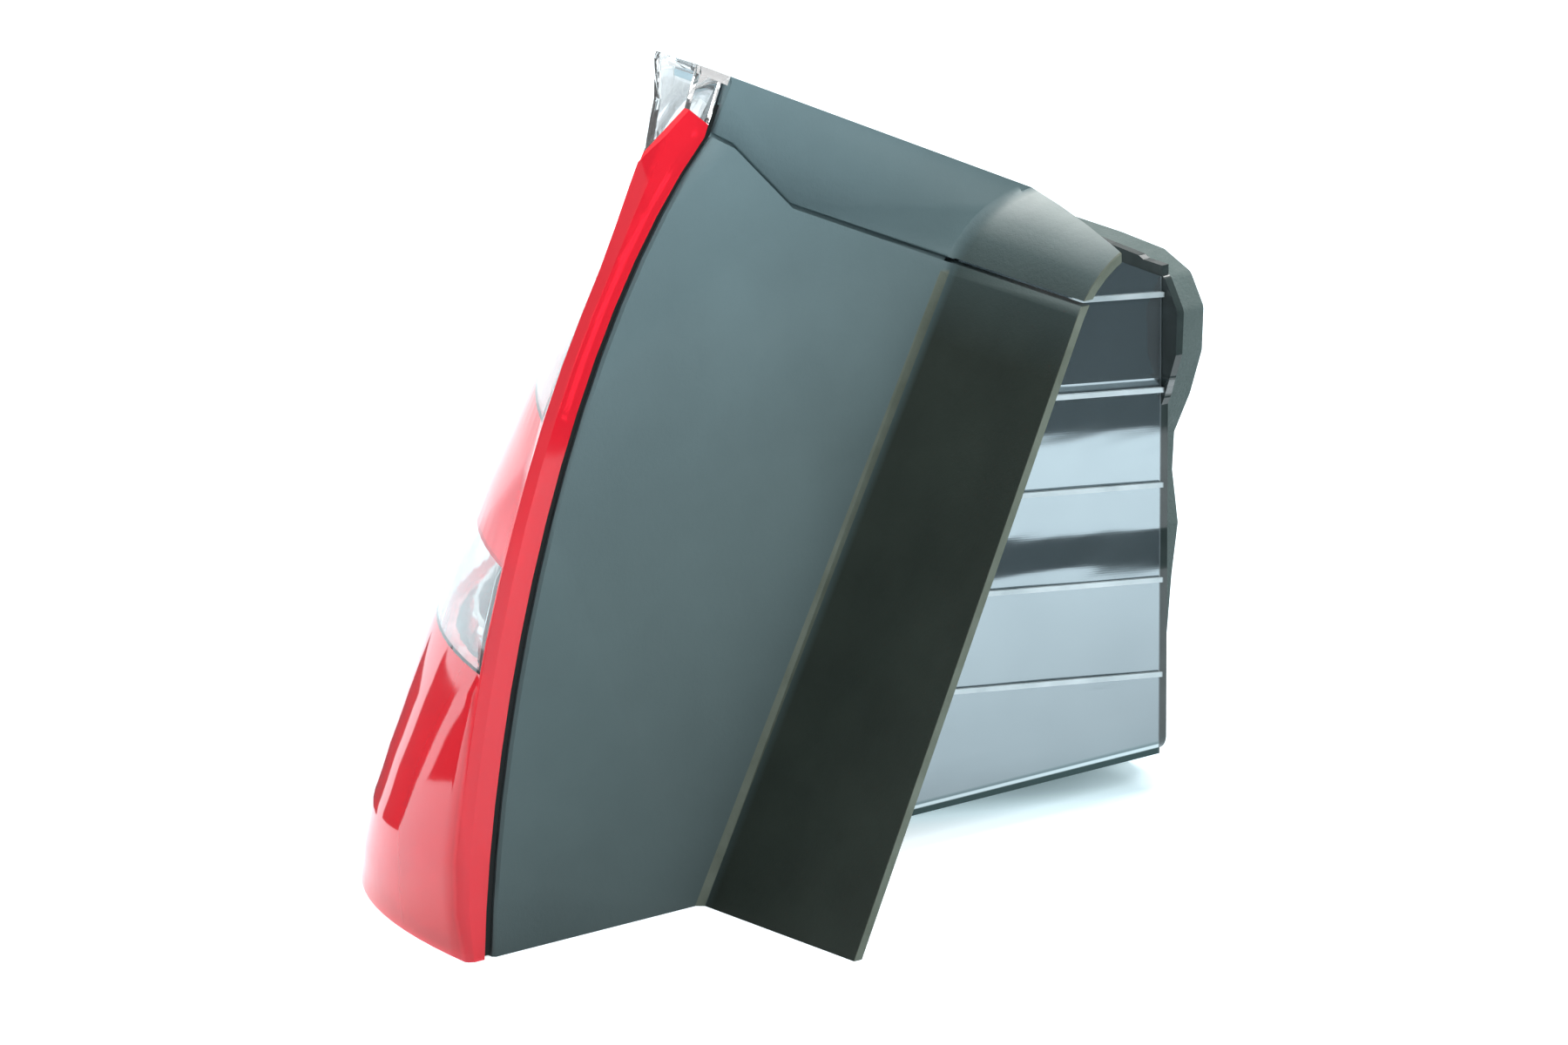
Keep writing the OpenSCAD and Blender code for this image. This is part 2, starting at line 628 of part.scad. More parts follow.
flute_count = 12;
flute_depth = 0.9;
module fluted_optic() {
    rows = [for (i = [0 : 4]) at_height(max(floor_z + housing_wall + fit, i * (stripe_low - 2) / 4))];
    places = [for (i = [0 : 72]) 0.07 + 0.88 * i / 72];
    color([0.75, 0.03, 0.06]) at_mount() skin(
        [for (e = rows) [for (u = places)
            let (p = lens_pt(e, u, lens_wall + 3.4 + flute_depth * sin(360 * flute_count * u))) [p[0], p[1], e[1]]]],
        [for (e = rows) [for (u = places) let (p = lens_pt(e, u, lens_wall + 6)) [p[0], p[1], e[1]]]]);
}

module reflex_reflector() {
    rows = [for (i = [1 : 3]) EDGE[i]];
    places = [for (i = [5 : 12]) i / lens_steps];
    color([0.70, 0.02, 0.05]) at_mount() skin(
        [for (e = rows) [for (u = places) let (p = lens_pt(e, u, lens_wall + fit)) [p[0], p[1], e[1]]]],
        [for (e = rows) [for (u = places) let (p = lens_pt(e, u, lens_wall + 1.7)) [p[0], p[1], e[1]]]]);
}

// Reflector: a plate on the rear of the bulkhead with four parabolic bowls, open at their necks.
neck_x = mount_front - tower_length;
neck_r = tower_d / 2 + 1;
mouth_r = 21;
bowl_depth = neck_x - bulk_x(0);
bowl_wall = 1.6;
function bowl_r(d) = sqrt(neck_r * neck_r + (mouth_r * mouth_r - neck_r * neck_r) * d / bowl_depth);
module bowl(extra, start) {
    translate([neck_x, 0, 0]) rotate([0, -90, 0]) rotate_extrude() polygon(concat([[0, start]],
        [for (i = [0 : 12]) [bowl_r(bowl_depth * i / 12) + extra, i == 0 ? start : bowl_depth * i / 12]],
        [[0, bowl_depth]]));
}

module bulb_places() {
    for (y = [-1, 1], z = [-1, 1])
        translate([0, carrier_mid_y + y * bulb_pitch_y / 2, stud_mid_z + z * bulb_pitch_z / 2]) children();
}

module reflector() {
    rear = housing_wall + fit + bowl_wall;
    color([0.90, 0.91, 0.92]) at_mount() difference() {
        union() {
            intersection() {
                across(wall_far + fit, lens_width) polygon([[bulk_x(8) - rear, 8], [bulk_x(205) - rear, 205],
                    [bulk_x(205) - rear + bowl_wall, 205], [bulk_x(8) - rear + bowl_wall, 8]]);
                forwards(0, flange_x) polygon([[0, 0], [lens_side(0) - lens_wall - 4, 0],
                    [lens_side(lamp_height) - lens_wall - 4, lamp_height], [0, lamp_height]]);
            }
            difference() {
                bulb_places() bowl(bowl_wall, 0);
                across(-over, lens_width) polygon([[-over, -over], [bulk_x(-over) - rear, -over],
                    [bulk_x(lamp_height) - rear, lamp_height], [-over, lamp_height]]);
            }
        }
        bulb_places() bowl(0, -1);
    }
}

// One bulb: metal cap in the socket of its tower, and a glass envelope.
cap_d = 15;
cap_length = 14;
module bulb(y, z) {
    translate([neck_x + cap_length, carrier_mid_y + y * bulb_pitch_y / 2, stud_mid_z + z * bulb_pitch_z / 2])
        rotate([0, -90, 0]) rotate_extrude() union() {
            square([cap_d / 2, cap_length + 3]);
            translate([0, cap_length]) square([bulb_d / 2 - 2.5, 8]);
            intersection() {
                translate([0, cap_length + 12]) circle(d = bulb_d);
                translate([0, cap_length]) square([bulb_d, 2 * bulb_d]);
            }
        }
}

module tail_bulb() {
    color([0.88, 0.90, 0.92]) at_mount() bulb(-1, -1);
}

module fog_bulb() {
    color([0.88, 0.90, 0.92]) at_mount() bulb(1, -1);
}

module reverse_bulb() {
    color([0.88, 0.90, 0.92]) at_mount() bulb(1, 1);
}

module indicator_bulb() {
    color([0.95, 0.55, 0.10]) at_mount() bulb(-1, 1);
}

// Bulb carrier

lip = 3.5;
seat_thick = 1.5;
plate_thick = 2.5;
plate_x = mount_front + seat_thick;
plate_front = plate_x + plate_thick;
socket_w = 30;
socket_h = 16;
socket_reach = 20;
socket_wall = 1.8;

module bulb_carrier() {
    color([0.13, 0.13, 0.14]) at_mount() {
        difference() {
            union() {
                forwards(plate_x, plate_front) carrier_outline(lip);
                forwards(flange_x, plate_x + 1) difference() {
                    carrier_outline(-fit);
                    carrier_outline(-fit - 2);
                }
                bulb_places() translate([neck_x, 0, 0]) rotate([0, 90, 0])
                    cylinder(d = tower_d, h = plate_x - neck_x + 1);
                forwards(plate_front - 1, plate_front + socket_reach)
                    translate([carrier_mid_y, stud_mid_z]) offset(r = 2) offset(delta = -2)
                        square([socket_w, socket_h], center = true);
            }
            bulb_places() translate([neck_x - 1, 0, 0]) rotate([0, 90, 0])
                cylinder(d = cap_d + 0.4, h = cap_length + 1 + fit);
            forwards(plate_front + 2, plate_front + socket_reach + 1) translate([carrier_mid_y, stud_mid_z])
                square([socket_w - 2 * socket_wall, socket_h - 2 * socket_wall], center = true);
        }
    }
}

module carrier_gasket() {
    color([0.10, 0.10, 0.10]) at_mount() forwards(mount_front, plate_x) difference() {
        carrier_outline(lip);
        carrier_outline(fit / 2);
    }
}

// Brass strips along the front of the carrier, between the two rows of bulbs and the socket.
module contact_strips() {
    color([0.80, 0.66, 0.32]) at_mount()
        for (s = [[-20, -36, 4, 72], [-12, -40, 3, 22], [-12, 18, 3, 22], [9, -40, 3, 22], [9, 18, 3, 22],
            [17, -36, 4, 72]])
            translate([plate_front, carrier_mid_y + s[0], stud_mid_z + s[1]]) cube([0.8, s[2], s[3]]);
}

module connector_terminals() {
    color([0.80, 0.66, 0.32]) at_mount()
        for (i = [-2.5 : 1 : 2.5]) translate([plate_front + 2, carrier_mid_y + 4 * i - 1.4, stud_mid_z - 0.4])
            cube([socket_reach - 6, 2.8, 0.8]);
}

housing();
jamb_cover_lower();
jamb_cover_upper();
outer_lens_red();
outer_lens_stripe();
outer_lens_top();
lens_seal();
inner_bezel();
fluted_optic();
reflex_reflector();
reflector();
tail_bulb();
fog_bulb();
reverse_bulb();
indicator_bulb();
bulb_carrier();
carrier_gasket();
contact_strips();
connector_terminals();
mounting_gasket();
mounting_studs();
locating_ball_stud();
breather_cap();
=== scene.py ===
"""Left-hand tail lamp of a car: finishes, fine detail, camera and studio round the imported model."""
import math

import bmesh
import bpy
import numpy as np
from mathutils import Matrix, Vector


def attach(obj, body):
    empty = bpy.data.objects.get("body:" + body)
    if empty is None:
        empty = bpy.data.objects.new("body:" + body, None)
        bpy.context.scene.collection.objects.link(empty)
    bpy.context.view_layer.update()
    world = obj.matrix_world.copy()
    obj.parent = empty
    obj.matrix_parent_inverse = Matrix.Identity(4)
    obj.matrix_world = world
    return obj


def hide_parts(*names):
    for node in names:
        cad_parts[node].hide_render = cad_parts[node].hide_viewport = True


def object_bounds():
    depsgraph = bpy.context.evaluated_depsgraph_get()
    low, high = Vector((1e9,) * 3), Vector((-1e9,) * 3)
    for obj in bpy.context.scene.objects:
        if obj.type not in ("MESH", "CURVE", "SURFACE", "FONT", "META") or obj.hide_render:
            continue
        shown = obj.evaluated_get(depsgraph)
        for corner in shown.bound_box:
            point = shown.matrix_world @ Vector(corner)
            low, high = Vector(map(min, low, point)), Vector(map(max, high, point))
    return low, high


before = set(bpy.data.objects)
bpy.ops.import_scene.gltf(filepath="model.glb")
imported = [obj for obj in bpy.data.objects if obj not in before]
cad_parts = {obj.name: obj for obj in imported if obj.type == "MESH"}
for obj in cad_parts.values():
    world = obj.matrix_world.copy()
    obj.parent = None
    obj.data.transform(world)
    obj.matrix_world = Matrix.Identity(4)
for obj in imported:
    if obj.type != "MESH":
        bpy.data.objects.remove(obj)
cad_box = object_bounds()


# Jamb covers: jamb_cover_lower and jamb_cover_upper
# 3 mm black mouldings, grained like fine leather, with painted light that brightens the panel upwards.
# The flange inboard of the panel is painted darker as shade, its roll has a painted highlight on top,
# and its crease and free edge a dull olive painted highlight.
def new_material(name):
    """An empty node material with one Principled shader on its output: (material, tree, shader)."""
    material = bpy.data.materials.new(name)
    material.use_nodes = True
    tree = material.node_tree
    tree.nodes.clear()
    out = tree.nodes.new("ShaderNodeOutputMaterial")
    shader = tree.nodes.new("ShaderNodeBsdfPrincipled")
    tree.links.new(shader.outputs[0], out.inputs["Surface"])
    return material, tree, shader


def noise(tree, scale, detail=3.0, squash=None):
    """Noise on Object coordinates, scale in cycles per metre; squash scales the three axes first."""
    place = tree.nodes.new("ShaderNodeTexCoord").outputs["Object"]
    if squash is not None:
        mapping = tree.nodes.new("ShaderNodeMapping")
        mapping.inputs["Scale"].default_value = squash
        tree.links.new(place, mapping.inputs["Vector"])
        place = mapping.outputs["Vector"]
    texture = tree.nodes.new("ShaderNodeTexNoise")
    texture.inputs["Scale"].default_value = scale
    texture.inputs["Detail"].default_value = detail
    tree.links.new(place, texture.inputs["Vector"])
    return texture.outputs["Fac"]


def along(tree, direction, start, end):
    """0 at start and 1 at end, both in metres, along a direction through the frame's origin."""
    place = tree.nodes.new("ShaderNodeTexCoord").outputs["Object"]
    dot = tree.nodes.new("ShaderNodeVectorMath")
    dot.operation = "DOT_PRODUCT"
    dot.inputs[1].default_value = direction
    tree.links.new(place, dot.inputs[0])
    span = tree.nodes.new("ShaderNodeMapRange")
    span.inputs["From Min"].default_value = start
    span.inputs["From Max"].default_value = end
    tree.links.new(dot.outputs["Value"], span.inputs["Value"])
    return span.outputs["Result"]


def ramp(tree, value, stops, smooth=False):
    """Passes a value through stops, each a place from 0 to 1 and a grey or a colour."""
    node = tree.nodes.new("ShaderNodeValToRGB")
    band = node.color_ramp
    band.interpolation = "B_SPLINE" if smooth else "LINEAR"
    while len(band.elements) < len(stops):
        band.elements.new(1.0)
    for element, (place, shade) in zip(band.elements, stops):
        element.position = place
        element.color = (*shade, 1.0) if isinstance(shade, tuple) else (shade, shade, shade, 1.0)
    tree.links.new(value, node.inputs["Fac"])
    return node.outputs["Color"]


def speckled(tree, scale, first, second, detail=3.0):
    """Noise that runs from one grey or colour to another."""
    return ramp(tree, noise(tree, scale, detail), [(0.3, first), (0.7, second)])


def mix(tree, share, first, second, blend="MIX"):
    """Mixes two colours or greys by a share, which is a number or a value in the tree."""
    node = tree.nodes.new("ShaderNodeMix")
    node.data_type = "RGBA"
    node.blend_type = blend
    if isinstance(share, float):
        node.inputs["Factor"].default_value = share
    else:
        tree.links.new(share, node.inputs["Factor"])
    tree.links.new(first, node.inputs["A"])
    tree.links.new(second, node.inputs["B"])
    return node.outputs["Result"]


def times(tree, first, second):
    """The product of two colours or greys."""
    return mix(tree, 1.0, first, second, "MULTIPLY")


def bump(tree, shader, height, distance, below=None, strength=1.0):
    """Raises a shader's surface by a height from 0 to 1 times distance metres, over another bump."""
    node = tree.nodes.new("ShaderNodeBump")
    node.inputs["Strength"].default_value = strength
    node.inputs["Distance"].default_value = distance
    tree.links.new(height, node.inputs["Height"])
    if below is not None:
        tree.links.new(below, node.inputs["Normal"])
    tree.links.new(node.outputs["Normal"], shader.inputs["Normal"])
    return node.outputs["Normal"]


def moulded(node_name, material, crease_degrees=24.0):
    """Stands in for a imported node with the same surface, its curved facets shaded as one skin.

    Corners that lie within a micrometre become one, and an edge between facets that turn by less
    than the crease angle is shaded smooth. Nothing moves.
    """
    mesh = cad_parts[node_name].data.copy()
    joined = bmesh.new()
    joined.from_mesh(mesh)
    bmesh.ops.remove_doubles(joined, verts=joined.verts, dist=1e-6)
    joined.to_mesh(mesh)
    joined.free()
    mesh.polygons.foreach_set("use_smooth", np.ones(len(mesh.polygons), bool))
    mesh.set_sharp_from_angle(angle=math.radians(crease_degrees))
    mesh.materials.clear()
    mesh.materials.append(material)
    piece = bpy.data.objects.new(node_name + "_skin", mesh)
    bpy.context.collection.objects.link(piece)
    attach(piece, "root")
    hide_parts(node_name)


up = (0.0, 0.0, 1.0)
inward = (0.0, -1.0, 0.0)
rising = [(0.0, 0.0), (1.0, 1.0)]
falling = [(0.0, 1.0), (1.0, 0.0)]

cover_finish, tree, shader = new_material("grained_cover")
# Painted light: the panel's colour runs from a painted shade low down to a painted light high up.
panel_painted_shade, panel_painted_half_light, panel_painted_light = (0.056, 0.077, 0.077), (0.085, 0.121, 0.124), (0.138, 0.200, 0.214)
painted_light_rise = along(tree, (-0.25, 0.0, 1.0), -0.06, 0.24)
panel_painted_gradient = ramp(tree, painted_light_rise, [(0.0, panel_painted_shade), (0.5, panel_painted_half_light), (1.0, panel_painted_light)])

# Painted shade: the flange, turned away from the key lamp, is given a darker colour than the panel.
flange_painted_shade = speckled(tree, 30.0, (0.026, 0.034, 0.027), (0.034, 0.044, 0.035))
on_flange = ramp(tree, along(tree, inward, 0.058, 0.064), rising)
below_roll = ramp(tree, along(tree, up, 0.085, 0.150), falling)
tone = mix(tree, times(tree, on_flange, below_roll), panel_painted_gradient, flange_painted_shade)

# Painted highlight: the top of the flange's roll is painted a pale grey.
roll_foot, roll_apex = 0.1180, 0.1293
painted_roll_highlight_share = ramp(tree, along(tree, up, roll_foot, roll_apex), [(0.0, 0.0), (0.5, 0.35), (1.0, 1.0)])
roll_painted_highlight = speckled(tree, 40.0, (0.24, 0.27, 0.26), (0.30, 0.33, 0.32))
tone = mix(tree, times(tree, on_flange, painted_roll_highlight_share), tone, roll_painted_highlight)

# Painted highlight: a dull olive line along the crease fillet and on the flange's free edge.
flange_lean = math.radians(27.9)
crease_way = (math.cos(flange_lean), 0.0, -math.sin(flange_lean))
crease = ramp(tree, along(tree, crease_way, -0.1496, -0.1466),
              [(0.0, 0.0), (0.1, 1.0), (0.78, 1.0), (0.84, 0.0)])
below_seam = ramp(tree, along(tree, up, 0.1065, 0.1075), falling)
free_edge = ramp(tree, along(tree, (0.0, -1.0, 0.0571), 0.1338, 0.1342), rising)
painted_edge_highlight_share = mix(tree, 1.0, times(tree, crease, below_seam), free_edge, "ADD")
edge_painted_highlight = speckled(tree, 70.0, (0.095, 0.110, 0.084), (0.135, 0.154, 0.124))
tone = mix(tree, painted_edge_highlight_share, tone, edge_painted_highlight)

clouds = ramp(tree, noise(tree, 22.0, 4.0), [(0.25, 0.86), (0.75, 1.0)])
tree.links.new(times(tree, tone, clouds), shader.inputs["Base Color"])
tree.links.new(speckled(tree, 60.0, 0.52, 0.62, 4.0), shader.inputs["Roughness"])
shader.inputs["Specular IOR Level"].default_value = 0.25
leather = bump(tree, shader, noise(tree, 520.0), 0.00010)
bump(tree, shader, noise(tree, 1900.0, 2.0), 0.00005, leather)
moulded("jamb_cover_lower", cover_finish)
moulded("jamb_cover_upper", cover_finish)


# Housing: housing
# Grey plastic under a bright lacquer. The inboard wall sinks between its ribs by up to 1.6 mm, so it
# mirrors the table in bright bands and the room's dark in others. Painted shade darkens the lacquer
# towards the foot and the plate edge; the rib crests have a painted highlight, and the foot a painted
# dark line with a painted highlight above it.
def dress(material, *node_names):
    """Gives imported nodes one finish."""
    for node_name in node_names:
        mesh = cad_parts[node_name].data
        mesh.materials.clear()
        mesh.materials.append(material)


housing_finish, tree, shader = new_material("lacquered_housing")
lacquer = speckled(tree, 12.0, (0.310, 0.365, 0.390), (0.355, 0.415, 0.440))
# Painted shade: the lacquer's colour darkens towards the foot of the housing.
lacquer = times(tree, lacquer, ramp(tree, along(tree, up, -0.100, 0.020), [(0.0, 0.60), (1.0, 1.0)]))
# Painted shade: the mount plate's edge beside the wall is dark and not metallic, for the shade in the gap.
plate_edge_painted_shade = speckled(tree, 80.0, (0.020, 0.028, 0.027), (0.034, 0.044, 0.043))
# Painted highlight: the rib crests are a paler grey and less metallic than the lacquer.
rib_crest_painted_highlight = speckled(tree, 80.0, (0.36, 0.42, 0.44), (0.50, 0.56, 0.58))
on_plate = ramp(tree, along(tree, (1.0, 0.0, 0.0), -0.0128, -0.0120), rising)
on_crest = ramp(tree, along(tree, inward, 0.0581, 0.0584), rising)
on_inboard_wall = ramp(tree, along(tree, inward, 0.030, 0.052), rising)
none = ramp(tree, on_plate, [(0.0, 0.0), (1.0, 0.0)])
lacquer = mix(tree, on_plate, mix(tree, on_crest, lacquer, rib_crest_painted_highlight), plate_edge_painted_shade)

# Painted shade and highlight: a dark line at the wall's foot for its down-turned rounding, a pale line above
# it.
foot_band = along(tree, up, -0.0873, -0.0823)
foot_painted_shade, foot_painted_highlight = (0.03, 0.05, 0.05), (0.45, 0.52, 0.54)
foot_painted_light = ramp(tree, foot_band, [(0.0, foot_painted_shade), (0.42, foot_painted_shade), (0.50, foot_painted_highlight), (0.66, foot_painted_highlight),
                            (0.74, (0.12, 0.16, 0.17)), (1.0, (0.20, 0.25, 0.26))])
on_foot_band = times(tree, ramp(tree, foot_band, [(0.0, 1.0), (0.86, 1.0), (0.98, 0.0)]), on_inboard_wall)
lacquer = mix(tree, mix(tree, on_plate, on_foot_band, none), lacquer, foot_painted_light)
tree.links.new(lacquer, shader.inputs["Base Color"])
metal = mix(tree, on_plate, ramp(tree, on_crest, [(0.0, 0.9), (1.0, 0.15)]), none)
tree.links.new(metal, shader.inputs["Metallic"])
tree.links.new(speckled(tree, 35.0, 0.10, 0.17, 4.0), shader.inputs["Roughness"])

rib_fall = math.radians(7.5)
wall_height = along(tree, (math.tan(rib_fall), 0.0, 1.0), -0.106, 0.094)
sink = ramp(tree, wall_height, [
    (0.00, 0.35), (0.12, 0.40), (0.21, 0.50), (0.22, 0.42), (0.34, 0.55), (0.40, 0.62), (0.44, 0.62),
    (0.48, 0.25), (0.52, 0.24), (0.56, 0.40), (0.68, 0.85), (0.735, 0.40), (0.745, 0.35), (0.765, 0.90),
    (0.775, 0.95), (0.90, 0.20), (1.00, 0.05)], smooth=True)
flat = ramp(tree, noise(tree, 8.0, 1.0), [(0.3, 0.45), (0.7, 0.50)])
waves = bump(tree, shader, mix(tree, on_inboard_wall, flat, sink), 0.0050)
ripple = mix(tree, on_inboard_wall, flat, noise(tree, 26.0, 2.0, (0.4, 1.0, 1.6)))
bump(tree, shader, ripple, 0.0012, waves)
dress(housing_finish, "housing")


# Weld wall: closes the housing to the lens on the outboard side, in the housing's plastic
# A 2.6 mm wall just inside the lens and as steep as its side, from under the lens's front edge to
# the bulkhead, and from the floor to the upper cover. Its numbers are part.scad's, in metres.
stud_middle = Vector((0.311, 0.058, 0.100))
lens_reach, lens_width = 0.120, 0.140
lens_lean, lens_tumble = math.radians(16.7), math.radians(11.3)
weld_inset, weld_thick = 0.0031, 0.0026
weld_rear, weld_front = -0.006, 0.0174
weld_foot_z, weld_top_rear_z, weld_top_front_z = 0.0032, 0.2492, 0.2388
weld_corners = []
for rear_z, front_z in ((weld_foot_z, weld_foot_z), (weld_top_rear_z, weld_top_front_z)):
    for run, height, depth in ((weld_rear, rear_z, 0.0), (weld_front, front_z, 0.0),
                               (weld_front, front_z, weld_thick), (weld_rear, rear_z, weld_thick)):
        corner = Vector((lens_reach + math.tan(lens_lean) * height + run,
                         lens_width - math.tan(lens_tumble) * height - weld_inset - depth, height))
        weld_corners.append(corner - stud_middle)
weld_mesh = bpy.data.meshes.new("weld_wall")
weld_mesh.from_pydata(weld_corners, [], [(0, 1, 2, 3), (7, 6, 5, 4), (4, 5, 1, 0), (5, 6, 2, 1),
                                         (6, 7, 3, 2), (7, 4, 0, 3)])
weld_mesh.materials.append(housing_finish)
weld_wall = bpy.data.objects.new("weld_wall", weld_mesh)
bpy.context.collection.objects.link(weld_wall)
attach(weld_wall, "root")


# Outer lens: outer_lens_red, outer_lens_stripe, outer_lens_top
# One acrylic moulding, 2.8 mm, in a red shot and a colourless one, polished outside. The red side
# wall along the covers lets less light through than the rest.
def clear_material(name, colour, roughness, through=0.92, rim_through=None):
    """Polished clear moulding with faint flow lines; rim_through is for the side wall along Y."""
    material, tree, shader = new_material(name)
    shade = tuple(0.94 * c for c in colour)
    tree.links.new(speckled(tree, 18.0, shade, colour), shader.inputs["Base Color"])
    shader.inputs["Roughness"].default_value = roughness
    shader.inputs["IOR"].default_value = 1.49
    shader.inputs["Transmission Weight"].default_value = through
    if rim_through is not None:
        side_wall = along(tree, inward, 0.0535, 0.0570)
        share = ramp(tree, side_wall, [(0.0, through), (1.0, rim_through)])
        tree.links.new(share, shader.inputs["Transmission Weight"])
    bump(tree, shader, noise(tree, 30.0, 2.0), 0.0003, None, 0.3)
    return material, shader


red_acrylic, red_shader = clear_material("red_acrylic", (0.86, 0.018, 0.035), 0.05, 0.55, 0.25)
red_shader.inputs["Specular IOR Level"].default_value = 0.35
clear_acrylic, clear_shader = clear_material("clear_acrylic", (0.985, 0.99, 0.99), 0.03, 0.97)
moulded("outer_lens_red", red_acrylic)
moulded("outer_lens_stripe", clear_acrylic)
moulded("outer_lens_top", clear_acrylic)


# Rubber pieces: lens_seal, carrier_gasket, breather_cap
# Soft black rubber with a dull surface and a fine grain.
def plain(name, colour, roughness, metallic=0.0, grain=600.0, height=0.00006):
    """A finish with a little variation of tone and sheen over a fine grain."""
    material, tree, shader = new_material(name)
    low = tuple(0.85 * c for c in colour)
    tree.links.new(speckled(tree, 45.0, low, colour), shader.inputs["Base Color"])
    tree.links.new(speckled(tree, 90.0, roughness * 0.85, roughness * 1.15), shader.inputs["Roughness"])
    shader.inputs["Metallic"].default_value = metallic
    bump(tree, shader, noise(tree, grain), height)
    return material, shader


rubber, rubber_shader = plain("black_rubber", (0.012, 0.014, 0.014), 0.5)
rubber_shader.inputs["Specular IOR Level"].default_value = 0.1
dress(rubber, "lens_seal", "carrier_gasket", "breather_cap")


# Mirror pieces: inner_bezel, reflector
# Vacuum-metallised plastic behind the lens, a little uneven as such a coat is.
metallised, metallised_shader = plain("metallised_plastic", (0.90, 0.91, 0.92), 0.10, 0.85, 80.0, 0.0002)
moulded("inner_bezel", metallised)
moulded("reflector", metallised)


# Red optics: fluted_optic, reflex_reflector
# Red moulded prisms with saturated upright strokes; painted light turns them pale low down.
red_optic, tree, shader = new_material("red_optic_plastic")
# Painted light: pale pink low down, deepening upwards.
painted_light_pale_red, mid_red = (0.98, 0.50, 0.52), (0.95, 0.30, 0.32)
painted_light_ground = ramp(tree, along(tree, up, -0.075, -0.035), [(0.0, painted_light_pale_red), (1.0, mid_red)])
strokes = ramp(tree, noise(tree, 60.0, 1.0, (1.0, 1.0, 0.12)), [(0.42, 0.0), (0.58, 1.0)])
full_red = speckled(tree, 30.0, (0.82, 0.0, 0.002), (0.90, 0.002, 0.004))
tree.links.new(mix(tree, strokes, painted_light_ground, full_red), shader.inputs["Base Color"])
shader.inputs["Roughness"].default_value = 0.15
bump(tree, shader, noise(tree, 300.0), 0.00006)
moulded("fluted_optic", red_optic, 40.0)
moulded("reflex_reflector", red_optic)


# Bulbs: tail_bulb, fog_bulb, reverse_bulb, indicator_bulb
# Clear glass, and amber glass on the indicator's.
bulb_glass, glass_shader = clear_material("bulb_glass", (0.95, 0.96, 0.97), 0.02)
amber_glass, glass_shader = clear_material("amber_glass", (0.95, 0.42, 0.05), 0.02)
dress(bulb_glass, "tail_bulb", "fog_bulb", "reverse_bulb")
dress(amber_glass, "indicator_bulb")


# Bulb carrier: bulb_carrier, contact_strips, connector_terminals
# Satin black plastic with stamped brass on it.
carrier_plastic, carrier_shader = plain("carrier_plastic", (0.035, 0.036, 0.038), 0.4)
contact_brass, brass_shader = plain("contact_brass", (0.78, 0.60, 0.28), 0.25, 1.0)
dress(carrier_plastic, "bulb_carrier")
dress(contact_brass, "contact_strips", "connector_terminals")


# Mounting pieces: mounting_gasket, mounting_studs, locating_ball_stud
# A ring of closed-cell foam, and zinc-plated steel studs.
foam, foam_shader = plain("closed_cell_foam", (0.078, 0.105, 0.100), 0.85, 0.0, 900.0, 0.0004)
zinc_steel, steel_shader = plain("zinc_plated_steel", (0.62, 0.63, 0.62), 0.28, 1.0)
dress(foam, "mounting_gasket")
dress(zinc_steel, "mounting_studs", "locating_ball_stud")


# Table: table, which isn't part of the lamp
# White to the camera and to mirrors, with a painted bluish shadow under the housing's wall; what lights
# the lamp from below is its plain diffuse part alone.
def ray_switch(tree, kinds):
    """1 for rays of the named kinds, else 0."""
    path = tree.nodes.new("ShaderNodeLightPath")
    total = path.outputs[kinds[0]]
    for kind in kinds[1:]:
        either = tree.nodes.new("ShaderNodeMath")
        either.operation = "MAXIMUM"
        tree.links.new(total, either.inputs[0])
        tree.links.new(path.outputs[kind], either.inputs[1])
        total = either.outputs[0]
    return total


def stage_quad(name, corners, finish):
    """A flat piece of the studio between four corners."""
    mesh = bpy.data.meshes.new(name)
    mesh.from_pydata(corners, [], [(0, 1, 2, 3)])
    mesh.materials.append(finish)
    quad = bpy.data.objects.new(name, mesh)
    bpy.context.collection.objects.link(quad)
    return quad


seen = ("Is Camera Ray", "Is Glossy Ray", "Is Transmission Ray")
table_z = cad_box[0][2]
table_half = 6.0
table_finish = bpy.data.materials.new("white_table")
table_finish.use_nodes = True
tree = table_finish.node_tree
tree.nodes.clear()
out = tree.nodes.new("ShaderNodeOutputMaterial")
lit = tree.nodes.new("ShaderNodeBsdfDiffuse")
lit.inputs["Color"].default_value = (0.55, 0.62, 0.66, 1.0)
# Painted shadow: the emission turns bluish, then near black, in a patch under the housing's wall.
shade_y = ramp(tree, along(tree, (0.35, 1.0, 0.0), -0.115, 0.0), [(0.0, 0.0), (0.30, 0.25), (0.55, 1.0)],
               smooth=True)
shade_x = ramp(tree, along(tree, (1.0, 0.0, 0.0), -0.20, 0.03),
               [(0.0, 0.4), (0.6, 1.0), (0.85, 0.8), (1.0, 0.0)], smooth=True)
glow = tree.nodes.new("ShaderNodeEmission")
painted_shadow_stops = [(0.0, (0.72, 0.72, 0.72)), (0.5, (0.48, 0.62, 0.66)), (1.0, (0.02, 0.05, 0.05))]
tree.links.new(ramp(tree, times(tree, shade_x, shade_y), painted_shadow_stops), glow.inputs["Color"])
glow.inputs["Strength"].default_value = 1.0
dark = tree.nodes.new("ShaderNodeEmission")
dark.inputs["Strength"].default_value = 0.0
pick = tree.nodes.new("ShaderNodeMixShader")
tree.links.new(ray_switch(tree, seen), pick.inputs[0])
tree.links.new(dark.outputs[0], pick.inputs[1])
tree.links.new(glow.outputs[0], pick.inputs[2])
total = tree.nodes.new("ShaderNodeAddShader")
tree.links.new(pick.outputs[0], total.inputs[0])
tree.links.new(lit.outputs[0], total.inputs[1])
tree.links.new(total.outputs[0], out.inputs["Surface"])
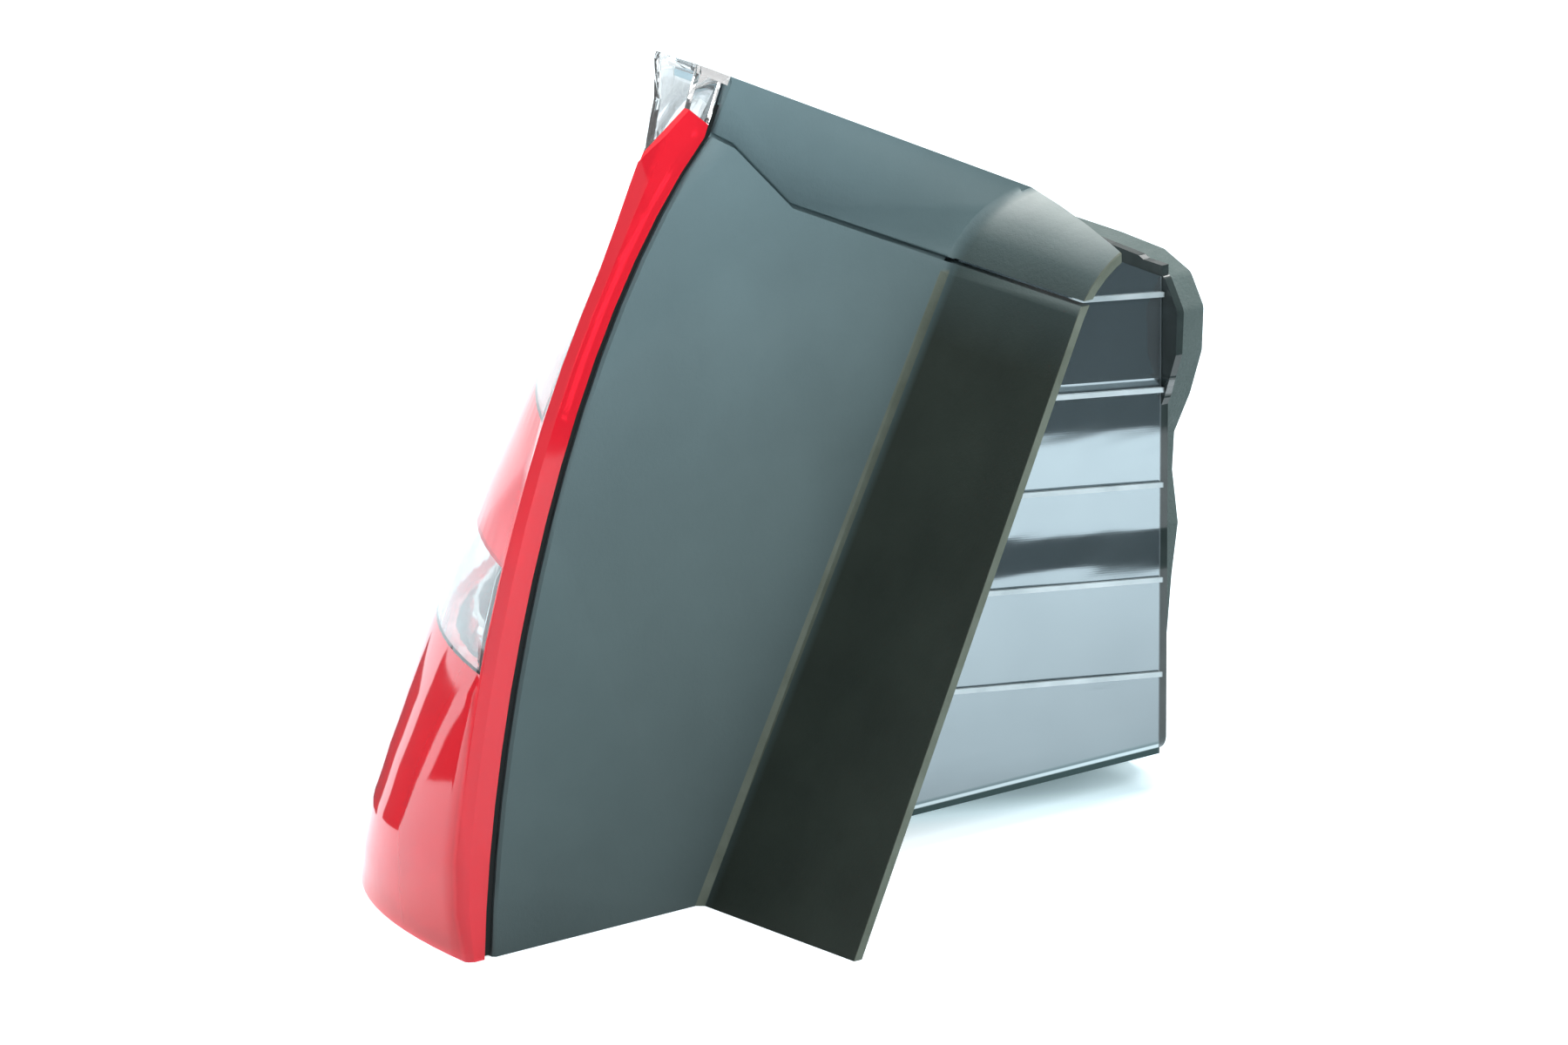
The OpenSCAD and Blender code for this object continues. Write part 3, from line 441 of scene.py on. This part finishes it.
stage_quad("table", [(-table_half, -table_half, table_z), (table_half, -table_half, table_z),
                     (table_half, table_half, table_z), (-table_half, table_half, table_z)], table_finish)


# Cards: wall_card and three of stroke_card, which aren't part of the lamp
# Black cards that only mirrors see. The upright one darkens bands of the housing's wall, and those
# on the table lie as rays from the lens and draw upright strokes on its lower zone.
black_card, tree, shader = new_material("card_black")
shader.inputs["Base Color"].default_value = (0.03, 0.045, 0.05, 1.0)
shader.inputs["Roughness"].default_value = 1.0


def mirror_card(name, corners):
    """A black card between four corners that only mirrors see."""
    card = stage_quad(name, corners, black_card)
    card.visible_camera = False
    card.visible_diffuse = False
    card.visible_shadow = False
    card.visible_transmission = False


wall_card_z = table_z + 1.0
mirror_card("wall_card", [(-0.05, -0.61, table_z), (0.49, -0.17, table_z), (0.49, -0.17, wall_card_z),
                          (-0.05, -0.61, wall_card_z)])
strokes_x, strokes_y, strokes_z = -0.305, -0.030, table_z + 0.0005
for first_turn, last_turn, near, far in ((114, 100, 0.42, 1.30), (96, 83, 0.18, 0.78), (77, 66, 0.17, 0.50)):
    corners = []
    for turn, reach in ((first_turn, near), (last_turn, near), (last_turn, far), (first_turn, far)):
        corners.append((strokes_x + reach * math.cos(math.radians(turn)),
                        strokes_y + reach * math.sin(math.radians(turn)), strokes_z))
    mirror_card("stroke_card", corners)


# World: a white room to the camera, to mirrors and through the lens
# To all other rays it is a dim cool fill.
world = bpy.data.worlds.new("studio")
bpy.context.scene.world = world
world.use_nodes = True
tree = world.node_tree
tree.nodes.clear()
out = tree.nodes.new("ShaderNodeOutputWorld")
white = tree.nodes.new("ShaderNodeBackground")
white.inputs["Strength"].default_value = 1.0
dim = tree.nodes.new("ShaderNodeBackground")
dim.inputs["Color"].default_value = (0.90, 0.97, 1.0, 1.0)
dim.inputs["Strength"].default_value = 0.30
pick = tree.nodes.new("ShaderNodeMixShader")
tree.links.new(ray_switch(tree, seen), pick.inputs[0])
tree.links.new(dim.outputs[0], pick.inputs[1])
tree.links.new(white.outputs[0], pick.inputs[2])
tree.links.new(pick.outputs[0], out.inputs["Surface"])


# Lamps: inboard_key, lens_lamp, top_lamp
# A large cool key from inboard, a lamp behind the lens that mirrors don't see, and one overhead.
def soft_box(name, place, aim, width, height, power, colour=(1.0, 1.0, 1.0)):
    """A rectangular lamp at a place, turned to an aim point."""
    data = bpy.data.lights.new(name, "AREA")
    data.shape = "RECTANGLE"
    data.size = width
    data.size_y = height
    data.energy = power
    data.color = colour
    lamp = bpy.data.objects.new(name, data)
    lamp.location = place
    lamp.rotation_euler = (Vector(place) - Vector(aim)).to_track_quat("Z", "Y").to_euler()
    bpy.context.collection.objects.link(lamp)
    return lamp


soft_box("inboard_key", (0.02, -0.95, 0.62), (-0.2, -0.06, 0.08), 0.7, 0.7, 11.5, (0.92, 0.98, 1.0))
lens_lamp = soft_box("lens_lamp", (-0.95, 0.90, 0.75), (-0.27, 0.0, 0.10), 0.8, 0.5, 24.0)
lens_lamp.visible_glossy = False
soft_box("top_lamp", (0.30, 0.10, 1.0), (-0.10, -0.06, 0.12), 0.6, 0.8, 15.0)


# Camera: photo_camera
# It looks at the tailgate side of the lamp from behind it and a little above, through a long lens:
# the frame is 540 mm wide at the view point, which lies inside the lamp.
azimuth, elevation = math.radians(-39.7), math.radians(17.0)
view_point = Vector((-0.1614, -0.0328, 0.0201))
view_distance, view_width, sensor_width = 8.0, 0.540, 36.0
toward_camera = Vector((math.sin(azimuth) * math.cos(elevation),
                        -math.cos(azimuth) * math.cos(elevation), math.sin(elevation)))
camera_data = bpy.data.cameras.new("photo_camera")
camera_data.sensor_width = sensor_width
camera_data.lens = sensor_width * view_distance / view_width
camera_data.clip_end = 60.0
camera = bpy.data.objects.new("photo_camera", camera_data)
camera.location = view_point + toward_camera * view_distance
camera.rotation_euler = toward_camera.to_track_quat("Z", "Y").to_euler()
bpy.context.collection.objects.link(camera)
bpy.context.scene.camera = camera
bpy.context.scene.view_settings.view_transform = "Standard"
